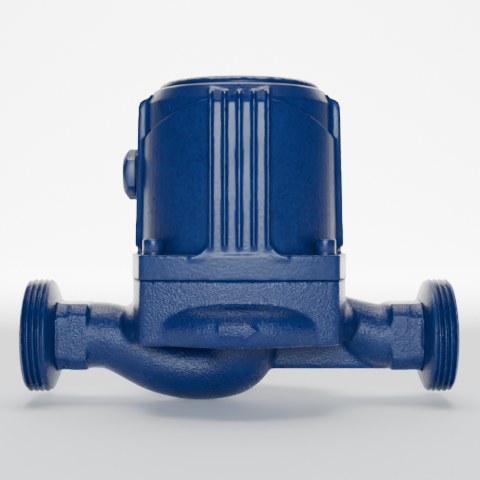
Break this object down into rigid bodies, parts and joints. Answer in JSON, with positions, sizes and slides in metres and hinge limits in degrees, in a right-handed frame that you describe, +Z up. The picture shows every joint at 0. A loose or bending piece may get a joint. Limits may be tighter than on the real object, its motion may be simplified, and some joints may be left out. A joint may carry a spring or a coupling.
{
  "type": "circulator pump",
  "caption": "Flanged-motor wet-rotor circulator for heating water: cast in-line pump body with threaded ports, ribbed motor housing above, cable gland and turning impeller.",
  "frame": {"origin": "centre of the inlet port's sealing face, on the common axis of the two ports", "axes": "+X runs from the inlet port to the outlet port, the way the water flows; +Z runs up the rotor axis towards the motor's end cover; +Y points away from the side that carries the flow arrow"},
  "size_m": [0.18, 0.1017, 0.1348],
  "materials": {
    "housing_paint": "rough cast iron under blue enamel paint",
    "motor_paint": "die-cast aluminium under blue enamel paint",
    "screw_paint": "steel screws painted over in blue",
    "cover_paint": "blue enamel paint on a smooth turned disc",
    "stainless": "bare stainless steel",
    "shaft_steel": "ground stainless steel",
    "laminations": "stacked electrical steel",
    "carbon": "dull carbon graphite",
    "alumina": "polished white ceramic",
    "brass": "turned brass",
    "copper_winding": "varnished copper wire bundles",
    "impeller_plastic": "moulded glass-filled plastic",
    "terminal_plastic": "off-white terminal plastic",
    "black_rubber": "black seal rubber",
    "gasket_fibre": "brown sealing fibre"
  },
  "bodies": {
    "pump": {"pump_housing": "housing_paint", "wear_ring": "stainless", "bearing_plate": "stainless", "lower_bearing": "carbon", "can_o_ring": "black_rubber", "rotor_can": "stainless", "upper_bearing_holder": "stainless", "upper_bearing": "carbon", "stator_core": "laminations", "stator_winding": "copper_winding", "terminal_block": "terminal_plastic", "terminal_screws": "brass", "motor_housing": "motor_paint", "housing_screws": "screw_paint", "spring_washers": "screw_paint", "end_cover": "cover_paint", "cover_gasket": "gasket_fibre", "cover_screws": "screw_paint", "vent_plug": "brass", "vent_seal": "black_rubber", "gland_body": "brass", "gland_washer": "black_rubber", "gland_nut": "screw_paint", "gland_seal": "black_rubber"},
    "rotor": {"shaft": "shaft_steel", "impeller": "impeller_plastic", "impeller_front_shroud": "impeller_plastic", "impeller_nut": "brass", "thrust_ring": "alumina", "thrust_ring_holder": "black_rubber", "rotor_core": "laminations", "rotor_end_rings": "brass", "rotor_sleeve": "stainless"}
  },
  "joints": [
    {"name": "rotor_spin", "type": "hinge", "parent": "pump", "child": "rotor", "pos_m": [0.09, 0, 0.05], "axis": [0, 0, 1], "continuous": true}
  ]
}
